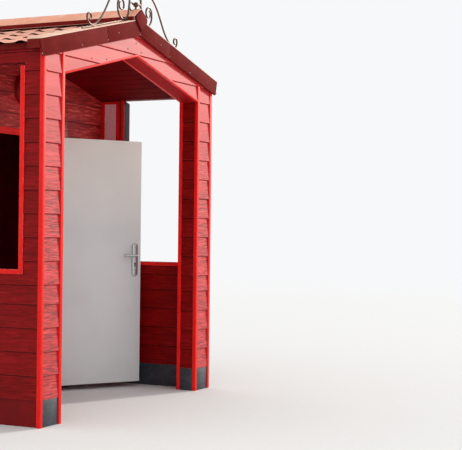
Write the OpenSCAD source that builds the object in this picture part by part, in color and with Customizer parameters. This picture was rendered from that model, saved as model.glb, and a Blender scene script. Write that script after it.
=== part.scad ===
// Seaside beach hut: a clad timber cabin behind an open porch with a pointed-arch front.
// X runs along the front, Y runs into the hut, Z is up, and the hut stands on z = 0.

/* [Hut] */
// Width over the corner trims
hut_w = 2440; // [2240:10:2700]
// Depth from the front face to the back face, without the barge boards
hut_d = 3050; // [2700:10:3400]
// Roof pitch in degrees
pitch = 14; // [11:0.5:17]
// Depth of the porch, from the front face to the boards of the door wall
porch_d = 1010; // [940:10:1200]

/* [Cladding] */
// Height of board that shows in each course
board_e = 156; // [146:1:158]
// Height of board that shows in the one short course
short_e = 127; // [100:1:140]
// Height of the plinth board
plinth_h = 180; // [140:5:190]
// Room for the lapped boards in front of a framed wall
clad_t = 20; // [16:1:24]
// Depth by which a plinth board lies behind the boards
plinth_in = 6; // [4:1:9]
// Width of a corner trim on the front face
trim_w = 30; // [26:1:36]
// Width of a corner trim on the side face
trim_d = 28; // [25:1:36]

/* [Walls] */
// Thickness of a side wall with its boards
wall_t = 90; // [80:1:110]
// Width of a front pier
pier_w = 250; // [220:5:290]
// Depth of a front pier
pier_d = 170; // [150:5:200]
// Thickness of the lining under the arch
soffit_t = 18; // [12:1:24]
// Height of the strip along the edge of the arch
strip_h = 14; // [10:1:20]

/* [Porch windows] */
// Height of the top of the sill
sill_z = 1030; // [900:5:1150]
// Thickness of the sill
sill_t = 30; // [22:1:40]
// Width of a window jamb
jamb_w = 34; // [28:1:60]
// Width of the flat panel between the window and the door wall
panel_w = 192; // [150:1:240]
// Depth by which the flat panel lies behind the boards
panel_in = 6; // [3:1:12]
// How far a window frame stands proud of the boards inside the porch
frame_proud = 4; // [2:0.5:8]

/* [Roof] */
// Height of the ceiling where it meets the porch side wall
ceil_z = 2390; // [2380:5:2420]
// Thickness of the ceiling boards
ceil_t = 16; // [12:1:20]
// Upright distance from the arch's point to the lower edge of the barge boards
gable_h = 152; // [135:1:170]
// Height of a barge board, measured upright
barge_h = 118; // [112:1:140]
// Thickness of a barge board and of a fascia
barge_t = 18; // [14:1:24]
// Thickness of the boarded roof deck
deck_t = 18; // [12:1:20]
// Thickness of the tile-effect roof sheet
sheet_t = 24; // [18:1:28]
// Height of a verge flashing's outer edge over the roof sheet
flash_t = 4; // [2:0.5:5]
// Height of its inner edge over the roof sheet
flash_h = 15; // [10:1:20]
// Width of a verge flashing
verge_w = 110; // [80:5:140]
// Width of the ridge cap on each slope
ridge_w = 98; // [86:1:105]
// Rise of the ridge cap above its lip
ridge_rise = 70; // [55:1:76]
// Thickness of the ridge cap
ridge_t = 6; // [4:0.5:8]
// Depth of the lip along each lower edge of the ridge cap
ridge_lip = 20; // [14:1:26]
// Gap between that lip and the flashings
ridge_gap = 1.5; // [1.5:0.5:6]
// Thickness of the plate on each end of the ridge
end_plate_t = 10; // [8:1:14]
// Distance by which that plate is narrower than the cap on each side
end_in = 15; // [10:1:20]
// Height of its lower point over the point of the barge boards
end_up = 28; // [20:1:40]
// Width of the batten that carries the ridge cap
batten_w = 60; // [45:1:80]
// Width of a rafter
rafter_w = 45; // [38:1:50]
// Number of pairs of rafters
rafter_n = 6; // [4:1:7]
// Distance by which the roof stands out over the side walls
eaves_out = 58; // [40:1:80]
// Height of the eaves fascia
fascia_h = 36; // [28:1:44]

/* [Door] */
// Width of the door leaf
leaf_w = 762; // [686:1:800]
// Height of the door leaf
leaf_h = 1981; // [1900:1:2000]
// Thickness of the door leaf
leaf_t = 44; // [35:1:54]
// Gap round the door leaf
leaf_gap = 5; // [5:0.5:8]
// Height of the threshold and of the cabin floor
floor_z = 40; // [30:1:50]
// Thickness of the door frame
casing_t = 32; // [25:1:40]
// How far the door frame stands in front of the boards
casing_proud = 15; // [8:1:20]
// Width of the stop that the closed leaf lies against
stop_w = 12; // [10:1:15]
// Depth of that stop
stop_d = 20; // [15:1:25]
// Angle at which the door stands open
open_deg = 148; // [90:1:160]

/* [Door fittings] */
// Height of the lever handles
lever_z = 1083; // [950:1:1150]
// Distance from the leaf's free edge to the lever's spindle
backset = 56; // [50:1:70]
// Height of a handle's back plate
plate_h = 270; // [220:1:300]
// Width of a handle's back plate
plate_w = 52; // [36:1:56]
// Thickness of a handle's back plate
plate_t = 8; // [5:0.5:10]
// Height of the spindle below the middle of the upper end of the plate
plate_top = 74; // [50:1:90]
// Length of a lever from its spindle
lever_l = 112; // [90:1:130]
// Diameter of the round lever bar
lever_d = 19; // [16:1:22]
// Distance from the leaf's face to the middle of the lever bar
lever_out = 46; // [38:1:55]
// Diameter of the boss at the root of a lever
boss_d = 23; // [21:1:26]
// Diameter of a hinge's knuckles
knuckle_d = 14; // [12:0.5:16]
// Diameter of a hinge's pin
pin_d = 5; // [4:0.5:6]
// Length of a hinge
hinge_l = 102; // [76:1:127]
// Thickness of a hinge's flap
flap_t = 2.5; // [2:0.1:3]
// Depth of a hinge's flap in the door's edge
flap_d = 30; // [24:1:32]
// Distance from the leaf's ends to the end hinges
hinge_in = 160; // [120:5:250]

/* [Cresting] */
// Thickness of the wrought bar
bar_t = 10; // [8:0.5:12]
// Depth of the wrought bar from front to back
bar_d = 12; // [10:0.5:16]
// Distance from the front face back to the middle of the bar
crest_in = 26; // [14:1:40]
// Distance of the base bars' outer ends from the ridge
base_x = 722; // [700:2:780]
// Radius of a scroll's eye
eye_r = 18; // [14:1:21]
// Distance between two windings of a scroll
wind = 18; // [15:1:20]
// Radius of the loop over the coil
loop_r = 43; // [40:1:46]
// Straight length between loop and bowl
loop_l = 25; // [10:1:40]
// Radius of the bowl that stands on the base bar
bowl_r = 76; // [72:1:80]
// Distance of the bowl's inner side from the ridge
bowl_x = 96; // [94:1:108]
// Straight length between bowl and tall arch
neck_l = 78; // [60:1:90]
// Radius of the tall arch
tall_r = 92; // [86:1:98]
// Radius of the long bend that follows the tall arch
brow_r = 420; // [380:10:480]
// Radius of the long bend that turns the stem outwards
sweep_r = 420; // [380:10:480]
// Radius of the shorter bend before the foot
heel_r = 110; // [95:5:125]
// Radius of the foot at the outer end
foot_r = 52; // [46:1:60]
// Radius of the ring above that foot
ring_r = 27; // [22:1:30]
// Radius of the arc that joins the two tall arches
link_r = 90; // [86:1:98]
// Depth of that arc's top below the tops of the tall arches
link_drop = 30; // [20:1:40]
// Radius of the small curl under that arc
curl_r = 30; // [24:1:32]
// Diameter of the ball on the ridge
ball_d = 40; // [30:1:44]
// Diameter of the collar under that ball
collar_d = 18; // [12:1:24]
// Height of the collar over the ridge
collar_h = 12; // [6:1:16]

/* [Lamp] */
// Diameter of the lamp's base
lamp_d = 250; // [200:5:280]
// Thickness of the lamp's base
lamp_base_t = 34; // [25:1:45]
// Depth of the lamp's lens
lens_h = 62; // [45:1:75]
// Width of the rim round the lens
rim_w = 14; // [8:1:20]

/* [Hidden] */

$fn = 48;
courses = 14;
weld = 1.5;
seat = 0.05;
half_w = hut_w / 2;
core_x = half_w - clad_t;
inner_x = half_w - wall_t;
arch_x = half_w - pier_w;
eaves_x = half_w + eaves_out;
frame_t = wall_t - clad_t;
front_y = -hut_d / 2;
back_y = hut_d / 2;
pier_y = front_y + pier_d;
door_y = front_y + porch_d;
panel_y = door_y - panel_w;
room_y = door_y + clad_t + frame_t;
rear_y = back_y - clad_t - frame_t;

slope = tan(pitch);
upright = 1 / cos(pitch);
spring_z = plinth_h + (courses - 1) * board_e + short_e;
arch_z = spring_z + arch_x * slope;
barge_z = arch_z + gable_h;
roof_z = barge_z + barge_h;
sheet_z = roof_z - sheet_t * upright;
deck_z = sheet_z - deck_t * upright;
core_z = deck_z - seat;
lip_z = roof_z + flash_h * upright - ridge_w * slope + ridge_gap;
ceil_apex = ceil_z + inner_x * slope;
rafter_z = ceil_apex + ceil_t * upright;

frame_y = door_y - casing_proud;
knuckle_r = knuckle_d / 2;
running = 0.5;
pin_play = 0.1;
hinge_x = leaf_w / 2 + leaf_gap / 2;
hinge_y = frame_y - knuckle_r - running;
leaf_z = floor_z + leaf_gap;
jamb_x = leaf_w / 2 + leaf_gap;
casing_x = jamb_x + casing_t;
head_z = leaf_z + leaf_h + leaf_gap;
casing_z = head_z + casing_t;
third = hinge_l / 3;
hinge_zs = [
    leaf_z + hinge_in,
    leaf_z + leaf_h / 2 - hinge_l / 2,
    leaf_z + leaf_h - hinge_in - hinge_l
];

// The lamp hangs midway between the door frame and the ceiling
lamp_z = (casing_z + ceil_apex) / 2;

// Shape of the scrolls: the turn between two points of a bend, the headings of the neck, of the
// tall arch's end and of the stem, the stem's turn outwards, and the last bend of the ring
bend_step = 15;
coil_r = loop_r - wind / 2;
neck_turn = 10;
brow_fall = 28;
stem_fall = 55;
sweep_turn = 24;
tip_r = 0.7 * ring_r;
tip_turn = 120;

// Where the small curl begins and ends, and how far up the neck it is welded on
curl_start = 150;
curl_turn = 280;
curl_s = 0.3 * neck_l;

// Height of a roof line at a distance x from the ridge, from its height at the ridge
function line_z(apex, x) = apex - abs(x) * slope;

module block(low, high) {
    translate(low)
        cube(high - low);
}

// Solid whose outline is drawn in X and Z and which runs from y0 to y1
module along_y(points, y0, y1) {
    translate([0, y1, 0])
        rotate([90, 0, 0])
            linear_extrude(y1 - y0)
                polygon(points);
}

// Piece of the right-hand roof slope between two lines, given by their heights at the ridge
module slope_slab(x0, x1, low, high, y0, y1) {
    along_y([
        [x0, line_z(low, x0)], [x1, line_z(low, x1)],
        [x1, line_z(high, x1)], [x0, line_z(high, x0)]
    ], y0, y1);
}

// Both slopes of such a piece, joined at the ridge
module chevron(x1, low, high, y0, y1) {
    along_y([
        [-x1, line_z(low, x1)], [0, low], [x1, line_z(low, x1)],
        [x1, line_z(high, x1)], [0, high], [-x1, line_z(high, x1)]
    ], y0, y1);
}

// Upright piece on the right, from z0 up to a roof line
module wall_panel(x0, x1, z0, top, y0, y1) {
    along_y([[x0, z0], [x1, z0], [x1, line_z(top, x1)], [x0, line_z(top, x0)]], y0, y1);
}

// Draws its children on the left or on the right
module on_side(side) {
    if (side < 0)
        mirror([1, 0, 0])
            children();
    else
        children();
}

// Clad box pier: the framed core behind its boards
module pier(side) {
    color("firebrick")
        on_side(side)
            wall_panel(arch_x + clad_t, core_x, 0, core_z, front_y + clad_t, pier_y - clad_t);
}

// Upright trims that close the boards at the corners of a pier
module pier_trims(side) {
    color("red")
        on_side(side) {
            union() {
                wall_panel(half_w - trim_w, half_w, 0, core_z, front_y, front_y + clad_t);
                wall_panel(core_x, half_w, 0, core_z, front_y, front_y + trim_d);
            }
            union() {
                wall_panel(arch_x, arch_x + trim_w, 0, core_z, front_y, front_y + clad_t);
                wall_panel(arch_x, arch_x + clad_t, 0, arch_z, front_y, front_y + trim_d);
            }
            union() {
                wall_panel(arch_x, arch_x + trim_w, 0, ceil_apex, pier_y - clad_t, pier_y);
                wall_panel(arch_x, arch_x + clad_t, 0, arch_z, pier_y - trim_d, pier_y);
            }
        }
}

// Dark plinth boards under the cladding of a pier, the dado and the door wall
module plinth(side) {
    color("darkslategray")
        on_side(side) {
            block([arch_x + trim_w, front_y + plinth_in, 0],
                  [half_w - trim_w, front_y + clad_t, plinth_h]);
            block([arch_x + plinth_in, front_y + trim_d, 0],
                  [arch_x + clad_t, pier_y - trim_d, plinth_h]);
            block([arch_x + trim_w, pier_y - clad_t, 0],
                  [inner_x + plinth_in, pier_y - plinth_in, plinth_h]);
            union() {
                block([inner_x + plinth_in, pier_y - clad_t, 0],
                      [inner_x + clad_t, door_y + clad_t, plinth_h]);
                block([casing_x, door_y + plinth_in, 0],
                      [inner_x + clad_t, door_y + clad_t, plinth_h]);
            }
        }
}

// Boxed half of the pointed gable, between a pier and the ridge line
module gable(side) {
    color("firebrick")
        on_side(side)
            slope_slab(0, arch_x + clad_t, arch_z + soffit_t * upright, core_z,
                       front_y + clad_t, pier_y - clad_t);
}

// Light strip that closes the lower edge of the gable's boards, front and back
module arch_strip() {
    color("tomato") {
        chevron(arch_x, arch_z, arch_z + strip_h * upright, front_y, front_y + clad_t);
        chevron(arch_x, arch_z, arch_z + strip_h * upright, pier_y - clad_t, pier_y);
    }
}

// Lining boards under the pointed arch
module arch_lining() {
    color("crimson")
        chevron(arch_x + clad_t, arch_z, arch_z + soffit_t * upright,
                front_y + clad_t, pier_y - clad_t);
}

// Half-height porch side wall
module dado(side) {
    color("darkred")
        on_side(side)
            block([inner_x + clad_t, pier_y - clad_t, 0],
                  [core_x, door_y + clad_t, sill_z - sill_t]);
}

// Sill and jambs of a porch window
module window_frame(side) {
    x0 = inner_x - frame_proud;
    y0 = pier_y - clad_t;
    color("red")
        on_side(side)
            union() {
                block([x0, y0, sill_z - sill_t], [half_w, panel_y, sill_z]);
                wall_panel(x0, half_w, sill_z - sill_t, ceil_apex, y0, y0 + jamb_w);
                wall_panel(x0, half_w, sill_z - sill_t, ceil_apex, panel_y - jamb_w, panel_y);
            }
}

// Flat panel between a porch window and the door wall
module porch_panel(side) {
    color("salmon")
        on_side(side)
            block([inner_x + panel_in, panel_y, sill_z - sill_t],
                  [core_x, door_y + clad_t, ceil_z - panel_in]);
}

// Beam that carries the roof over a porch window
module eaves_beam(side) {
    color("darkred")
        on_side(side)
            wall_panel(inner_x, core_x, ceil_z, core_z, pier_y - clad_t, door_y + clad_t);
}

// Framed side wall of the cabin
module side_wall(side) {
    color("firebrick")
        on_side(side)
            wall_panel(inner_x, core_x, 0, core_z, door_y + clad_t, back_y - clad_t);
}

module back_wall() {
    color("firebrick")
        along_y([
            [-inner_x, 0], [inner_x, 0], [inner_x, line_z(core_z, inner_x)],
            [0, core_z], [-inner_x, line_z(core_z, inner_x)]
        ], rear_y, back_y - clad_t);
}

// Corner trims at the back
module back_trims() {
    color("red")
        for (side = [-1, 1])
            on_side(side)
                union() {
                    wall_panel(half_w - trim_w, half_w, 0, core_z, back_y - clad_t, back_y);
                    wall_panel(core_x, half_w, 0, core_z, back_y - trim_d, back_y);
                }
}

// Framed wall beside the doorway
module door_wall(side) {
    color("darkred")
        on_side(side)
            wall_panel(casing_x, inner_x, 0, ceil_apex, door_y + clad_t, room_y);
}

// Framed wall over the doorway
module door_wall_head() {
    color("darkred")
        along_y([
            [-casing_x, casing_z], [casing_x, casing_z], [casing_x, line_z(ceil_apex, casing_x)],
            [0, ceil_apex], [-casing_x, line_z(ceil_apex, casing_x)]
        ], door_y + clad_t, room_y);
}

// Door lining with its threshold and the stop that the leaf closes against
module door_frame() {
    stop_y = frame_y + leaf_t + leaf_gap;
    color("red")
        difference() {
            block([-casing_x, frame_y, 0], [casing_x, room_y, casing_z]);
            block([-jamb_x, frame_y - 1, floor_z], [jamb_x, stop_y, head_z]);
            block([-jamb_x + stop_w, stop_y - 1, floor_z], [jamb_x - stop_w, room_y + 1, head_z - stop_w]);
            block([-jamb_x, stop_y + stop_d, floor_z], [jamb_x, room_y + 1, head_z]);
            for (z = hinge_zs)
                block([jamb_x - 1, frame_y - 1, z], [jamb_x + flap_t, frame_y + flap_d, z + hinge_l]);
        }
}

// Flaps, end knuckles and pins of the butt hinges, fixed to the frame
module frame_hinges() {
    color("silver")
        for (z = hinge_zs)
            union() {
                block([jamb_x, frame_y, z], [jamb_x + flap_t, frame_y + flap_d, z + hinge_l]);
                for (end = [0, 2])
                    translate([0, 0, z + end * third]) {
                        block([jamb_x, hinge_y, 0], [jamb_x + flap_t, frame_y + 1, third]);
                        translate([hinge_x, hinge_y, 0])
                            cylinder(h = third, d = knuckle_d);
                    }
                translate([hinge_x, hinge_y, z])
                    cylinder(h = hinge_l, d = pin_d);
            }
}

module cabin_floor() {
    color("burlywood")
        block([-inner_x, room_y, 0], [inner_x, rear_y, floor_z]);
}

// Ceiling boards of porch and cabin
module ceiling() {
    color("maroon")
        chevron(inner_x, ceil_apex, rafter_z, pier_y - clad_t, rear_y);
}

// Pairs of rafters between the ceiling and the deck
module rafters() {
    first_y = pier_y;
    step = (rear_y - rafter_w - first_y - rafter_w) / (rafter_n - 1);
    color("tan")
        for (i = [0 : rafter_n - 1])
            chevron(inner_x, rafter_z, core_z, first_y + i * step, first_y + i * step + rafter_w);
}

module roof_deck(side) {
    color("peru")
        on_side(side)
            slope_slab(0, half_w, deck_z, sheet_z - seat, front_y, back_y);
}

// Tile-effect sheet on one slope
module roof_sheet(side) {
    color("indianred")
        on_side(side)
            slope_slab(0, eaves_x, sheet_z, roof_z, front_y, back_y);
}

// Height of the ridge cap's outer face at a distance x from the ridge
function cap_z(x) = lip_z + ridge_lip + ridge_rise * (1 - x / ridge_w);

// Height of its inner face there
function under_cap(x) = cap_z(x) - ridge_t * norm([ridge_w, ridge_rise]) / ridge_w;

// Batten under the ridge cap
module ridge_batten() {
    w = batten_w / 2;
    low = roof_z + seat;
    color("saddlebrown")
        along_y([
            [-w, line_z(low, w)], [0, low], [w, line_z(low, w)],
            [w, under_cap(w) - seat], [0, under_cap(0) - seat], [-w, under_cap(w) - seat]
        ], front_y + verge_w, back_y - verge_w);
}

// Outline of the ridge from the lips up
function ridge_top() = [
    [ridge_w, lip_z], [ridge_w, cap_z(ridge_w)], [0, cap_z(0)],
    [-ridge_w, cap_z(ridge_w)], [-ridge_w, lip_z]
];

// Angular cap with a lip along each lower edge
module ridge_cap() {
    x = ridge_w - ridge_t;
    color("lightsalmon")
        along_y(concat(ridge_top(), [
            [-x, lip_z], [-x, under_cap(x)], [0, under_cap(0)], [x, under_cap(x)], [x, lip_z]
        ]), front_y - barge_t, back_y + barge_t);
}

// Kite-shaped plates over the ends of the ridge and the joint of the barge boards
module ridge_ends() {
    x = ridge_w - end_in;
    color("brown")
        for (turn = [0, 180])
            rotate([0, 0, turn])
                along_y([
                    [x, lip_z], [x, under_cap(x)], [0, under_cap(0)],
                    [-x, under_cap(x)], [-x, lip_z], [0, barge_z + end_up]
                ], front_y - barge_t - end_plate_t, front_y - barge_t);
}

// Tilted flashings that cover the barge boards and the edges of the roof sheets, front and back
module verge_flashings() {
    long = 2 * eaves_x;
    profile = [[0, 0], [verge_w, 0], [verge_w, flash_h], [0, flash_t]];
    color("lightsalmon")
        for (turn = [0, 180])
            rotate([0, 0, turn])
                translate([0, front_y - barge_t, roof_z + seat])
                    for (side = [-1, 1])
                        on_side(side)
                            intersection() {
                                block([0, 0, -long], [eaves_x, verge_w, long]);
                                rotate([0, pitch, 0])
                                    translate([-eaves_x, 0, 0])
                                        rotate([90, 0, 90])
                                            linear_extrude(2 * long)
                                                polygon(profile);
                            }
}

// Height of the flashings' upper face on the ridge line, at a distance y behind the front face
function flash_z(y) = roof_z + 2 * seat
    + upright * (flash_t + (flash_h - flash_t) * (y + barge_t) / verge_w);

// Barge boards of one gable, with their ends cut square to the slope
module barge(turn) {
    x = eaves_x - barge_h * sin(pitch) * cos(pitch);
    color("brown")
        rotate([0, 0, turn])
            along_y([
                [-x, line_z(barge_z, x)], [0, barge_z], [x, line_z(barge_z, x)],
                [eaves_x, line_z(roof_z, eaves_x)], [0, roof_z], [-eaves_x, line_z(roof_z, eaves_x)]
            ], front_y - barge_t, front_y);
}

// Fascias along both eaves
module eaves_fascias() {
    x = half_w + barge_t;
    top = line_z(sheet_z - seat, x);
    color("brown")
        for (side = [-1, 1])
            on_side(side)
                along_y([
                    [half_w, top - fascia_h], [x, top - fascia_h],
                    [x, top], [half_w, line_z(sheet_z - seat, half_w)]
                ], front_y, back_y);
}

// Turns a closed door piece to where the door stands open
module opened() {
    translate([hinge_x, hinge_y, 0])
        rotate([0, 0, open_deg])
            translate([-hinge_x, -hinge_y, 0])
                children();
}

module door_leaf() {
    color("whitesmoke")
        opened()
            difference() {
                block([-leaf_w / 2, frame_y, leaf_z], [leaf_w / 2, frame_y + leaf_t, leaf_z + leaf_h]);
                for (z = hinge_zs)
                    block([leaf_w / 2 - flap_t, frame_y - 1, z],
                          [leaf_w / 2 + 1, frame_y + flap_d, z + hinge_l]);
            }
}

// Flaps and middle knuckles of the butt hinges, fixed to the leaf
module leaf_hinges() {
    x = leaf_w / 2;
    color("silver")
        opened()
            for (z = hinge_zs)
                difference() {
                    union() {
                        block([x - flap_t, frame_y, z], [x, frame_y + flap_d, z + hinge_l]);
                        block([x - flap_t, hinge_y, z + third + running],
                              [x, frame_y + 1, z + 2 * third - running]);
                        translate([hinge_x, hinge_y, z + third + running])
                            cylinder(h = third - 2 * running, d = knuckle_d);
                    }
                    translate([hinge_x, hinge_y, z])
                        cylinder(h = hinge_l, d = pin_d + 2 * pin_play);
                }
}

// Draws its children on both faces of the leaf, at the spindle, with +Z away from the leaf
module at_both_faces() {
    opened()
        translate([-leaf_w / 2 + backset, 0, lever_z]) {
            translate([0, frame_y, 0])
                rotate([90, 0, 0])
                    children();
            translate([0, frame_y + leaf_t, 0])
                mirror([0, 1, 0])
                    rotate([90, 0, 0])
                        children();
        }
}

// Back plates with round ends on both faces of the leaf
module handle_plates() {
    r = plate_w / 2;
    color("gainsboro")
        at_both_faces()
            linear_extrude(plate_t) {
                translate([0, plate_top])
                    circle(r);
                translate([0, plate_top - plate_h + plate_w])
                    circle(r);
                translate([-r, plate_top - plate_h + plate_w])
                    square([plate_w, plate_h - plate_w]);
            }
}

// Lever handles on both faces of the leaf
module levers() {
    color("silver")
        at_both_faces()
            union() {
                translate([0, 0, plate_t])
                    cylinder(h = lever_out - plate_t, d = boss_d);
                translate([0, 0, lever_out])
                    rotate([0, 90, 0])
                        cylinder(h = lever_l, d = lever_d);
                translate([0, 0, lever_out])
                    sphere(d = boss_d);
            }
}

// Round base of the lamp over the door
module lamp_base() {
    color("gray")
        translate([0, door_y + clad_t, lamp_z])
            rotate([90, 0, 0])
                cylinder(h = clad_t + lamp_base_t, d = lamp_d);
}

// Domed lens of the lamp
module lamp_lens() {
    r = lamp_d / 2 - rim_w;
    color("lightyellow")
        translate([0, door_y - lamp_base_t, lamp_z])
            rotate([90, 0, 0])
                rotate_extrude()
                    intersection() {
                        scale([1, lens_h / r])
                            circle(r);
                        square([r, r]);
                    }
}

// Points of a wrought scroll: a chain of [radius, sweep] bends, where a positive sweep turns
// to the left and a bend of radius 0 is a straight of that length
function bend_end(p, h, b) = b[0] == 0
    ? p + b[1] * [cos(h), sin(h)]
    : p + b[0] * sign(b[1]) * ([-sin(h), cos(h)] - [-sin(h + b[1]), cos(h + b[1])]);
function turn_of(b) = b[0] == 0 ? 0 : b[1];
function part_of(b, t) = b[0] == 0 ? [0, b[1] * t] : [b[0], b[1] * t];
function steps_of(b) = b[0] == 0
    ? 1
    : ceil(abs(b[1]) * sqrt(max(b[0] / bowl_r, 1)) / bend_step);
function scroll(p, h, bends, i = 0) = i == len(bends)
    ? [p]
    : concat(
        [for (k = [0 : steps_of(bends[i]) - 1])
            bend_end(p, h, part_of(bends[i], k / steps_of(bends[i])))],
        scroll(bend_end(p, h, bends[i]), h + turn_of(bends[i]), bends, i + 1));

// Outline of a bar of even width along a line of points
function along(points, i) = let (
        a = points[max(i - 1, 0)],
        b = points[min(i + 1, len(points) - 1)]
    ) (b - a) / norm(b - a);
function edge(points, off) = [for (i = [0 : len(points) - 1])
    points[i] + off * [-along(points, i)[1], along(points, i)[0]]];
function reversed(list) = [for (i = [len(list) - 1 : -1 : 0]) list[i]];
function bar_outline(points) = concat(edge(points, bar_t / 2), reversed(edge(points, -bar_t / 2)));

// Height of each point above the slope of the roof
function above_slope(points) = [for (p = points) p[1] + p[0] * slope];

// Line of one scroll, from its eye over the tall arch to the ring at the outer end
function scroll_line(stem) = scroll([bowl_x + 2 * (bowl_r - loop_r + coil_r) - eye_r, 0], 0, [
    [eye_r, -90], [coil_r, -180], [loop_r, -180], [0, loop_l], [bowl_r, neck_turn - 180], [0, neck_l],
    [tall_r, -90 - neck_turn - brow_fall], [brow_r, brow_fall - stem_fall], [0, stem],
    [sweep_r, sweep_turn], [heel_r, stem_fall - sweep_turn],
    [foot_r, 90], [ring_r, 180], [tip_r, tip_turn]
]);

// Wrought cresting on the front verge: on each slope a base bar with a tall scroll, an arc
// that joins the two scrolls, a small curl on each side under it, and a ball on the ridge
module crest() {
    base_x0 = ridge_w + bar_t / 2;
    rest_z = flash_z(crest_in + bar_d / 2);
    base_z = rest_z + bar_t * upright;
    near = above_slope([for (p = scroll_line(0)) if (p[0] < bowl_x + 2 * bowl_r) p]);
    far = above_slope([for (p = scroll_line(0)) if (p[0] > bowl_x + 2 * tall_r) p]);
    stem = (min(far) - min(near)) / (sin(stem_fall) - slope * cos(stem_fall));
    lift = base_z + (bar_t / 2 - weld) * upright - min(near);
    line = scroll_line(stem);
    link_x = bowl_x - bar_t;
    half_link = asin(link_x / link_r);
    link_z = lift + max([for (p = line) p[1]]) - link_drop - link_r * (1 - cos(half_link));
    neck_x = bowl_x + bowl_r * (1 - cos(neck_turn)) - curl_s * sin(neck_turn);
    neck_z = lift - eye_r - loop_l + bowl_r * sin(neck_turn) + curl_s * cos(neck_turn);
    curl_x = neck_x - bar_t + weld - curl_r;
    curl_p = [curl_x, neck_z] + curl_r * [cos(curl_start), sin(curl_start)];
    curl = scroll(curl_p, curl_start - 90, [[curl_r, -curl_turn]]);
    link = scroll([-link_x, link_z], half_link, [[link_r, -2 * half_link]]);
    color("dimgray") {
        translate([0, front_y + crest_in + bar_d / 2, 0])
            rotate([90, 0, 0])
                linear_extrude(bar_d)
                    union() {
                        for (side = [-1, 1])
                            on_side(side) {
                                polygon([
                                    [base_x0, line_z(rest_z, base_x0)], [base_x, line_z(rest_z, base_x)],
                                    [base_x, line_z(base_z, base_x)], [base_x0, line_z(base_z, base_x0)]
                                ]);
                                translate([0, lift])
                                    polygon(bar_outline(line));
                                polygon(bar_outline(curl));
                            }
                        polygon(bar_outline(link));
                    }
        translate([0, front_y + crest_in, 0])
            union() {
                translate([0, 0, cap_z(0) + collar_h + ball_d / 2 - weld])
                    sphere(d = ball_d);
                difference() {
                    translate([0, 0, cap_z(ridge_w)])
                        cylinder(h = cap_z(0) - cap_z(ridge_w) + collar_h, d = collar_d);
                    along_y(ridge_top(), -collar_d, collar_d);
                }
            }
    }
}

pier(-1);  // pier_left
pier(1);  // pier_right
pier_trims(-1);  // pier_trims_left
pier_trims(1);  // pier_trims_right
plinth(-1);  // plinth_left
plinth(1);  // plinth_right
gable(-1);  // gable_left
gable(1);  // gable_right
arch_strip();
arch_lining();
dado(-1);  // dado_left
dado(1);  // dado_right
window_frame(-1);  // window_frame_left
window_frame(1);  // window_frame_right
porch_panel(-1);  // porch_panel_left
porch_panel(1);  // porch_panel_right
eaves_beam(-1);  // eaves_beam_left
eaves_beam(1);  // eaves_beam_right
side_wall(-1);  // side_wall_left
side_wall(1);  // side_wall_right
back_wall();
back_trims();
door_wall(-1);  // door_wall_left
door_wall(1);  // door_wall_right
door_wall_head();
door_frame();
frame_hinges();
cabin_floor();
ceiling();
rafters();
roof_deck(-1);  // roof_deck_left
roof_deck(1);  // roof_deck_right
roof_sheet(-1);  // roof_sheet_left
roof_sheet(1);  // roof_sheet_right
ridge_batten();
ridge_cap();
ridge_ends();
verge_flashings();
barge(0);  // barge_front
barge(180);  // barge_back
eaves_fascias();
crest();
lamp_base();
lamp_lens();
door_leaf();
leaf_hinges();
handle_plates();
levers();
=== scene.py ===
from math import ceil, cos, pi, radians, sin, tan

import bpy
from mathutils import Matrix, Vector


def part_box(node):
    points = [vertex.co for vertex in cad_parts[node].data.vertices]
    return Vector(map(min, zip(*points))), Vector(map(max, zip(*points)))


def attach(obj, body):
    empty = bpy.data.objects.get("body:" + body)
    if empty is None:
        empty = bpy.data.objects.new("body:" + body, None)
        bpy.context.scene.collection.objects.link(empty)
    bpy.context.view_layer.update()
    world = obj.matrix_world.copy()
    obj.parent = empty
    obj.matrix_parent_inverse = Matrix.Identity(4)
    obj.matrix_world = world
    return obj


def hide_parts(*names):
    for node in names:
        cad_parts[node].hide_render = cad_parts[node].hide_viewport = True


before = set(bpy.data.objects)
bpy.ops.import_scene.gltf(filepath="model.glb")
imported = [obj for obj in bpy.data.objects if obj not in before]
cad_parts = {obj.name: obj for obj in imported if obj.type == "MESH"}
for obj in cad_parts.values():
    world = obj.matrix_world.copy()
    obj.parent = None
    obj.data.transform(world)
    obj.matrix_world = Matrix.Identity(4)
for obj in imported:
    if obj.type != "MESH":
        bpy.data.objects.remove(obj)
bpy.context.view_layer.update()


# The view: a long lens at eye height, well to the left of the hut, which looks along the row
# of fronts so that the porch is seen past its left pier.
camera_place = (-7.962, -6.136, 1.309)
camera_yaw = 0.4490
camera_pitch = 0.0035
camera_roll = 0.0113
focal_mm = 96.9

bpy.ops.object.camera_add(location=camera_place)
camera = bpy.context.object
camera.data.sensor_width = 36
camera.data.lens = focal_mm
camera.data.dof.use_dof = False
camera.rotation_euler = (
    Matrix.Rotation(camera_yaw - pi / 2, 4, "Z")
    @ Matrix.Rotation(pi / 2 + camera_pitch, 4, "X")
    @ Matrix.Rotation(camera_roll, 4, "Z")
).to_euler()
bpy.context.scene.camera = camera
bpy.context.scene.view_settings.view_transform = "Standard"


# The ground and the light: a plain pale floor that runs into a pale backdrop, an even soft
# light from all round, and a warm low lamp that rakes over the fronts from the right.
backdrop = (0.93, 0.94, 0.95, 1)
floor_size = 160
floor_fades = (7, 26)
sky_strength = 1.0
sun_from = (0.868, -0.362, 0.340)
sun_energy = 2.5
sun_spread = 5
sun_away = 12


def feed(tree, node, inputs):
    """Gives each named input of a node a value, or wires it to a socket."""
    for name, value in inputs.items():
        if isinstance(value, bpy.types.NodeSocket):
            tree.links.new(value, node.inputs[name])
        else:
            node.inputs[name].default_value = value


def add_node(tree, kind, inputs=None, **settings):
    node = tree.nodes.new(kind)
    for name, value in settings.items():
        setattr(node, name, value)
    feed(tree, node, inputs or {})
    return node


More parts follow.
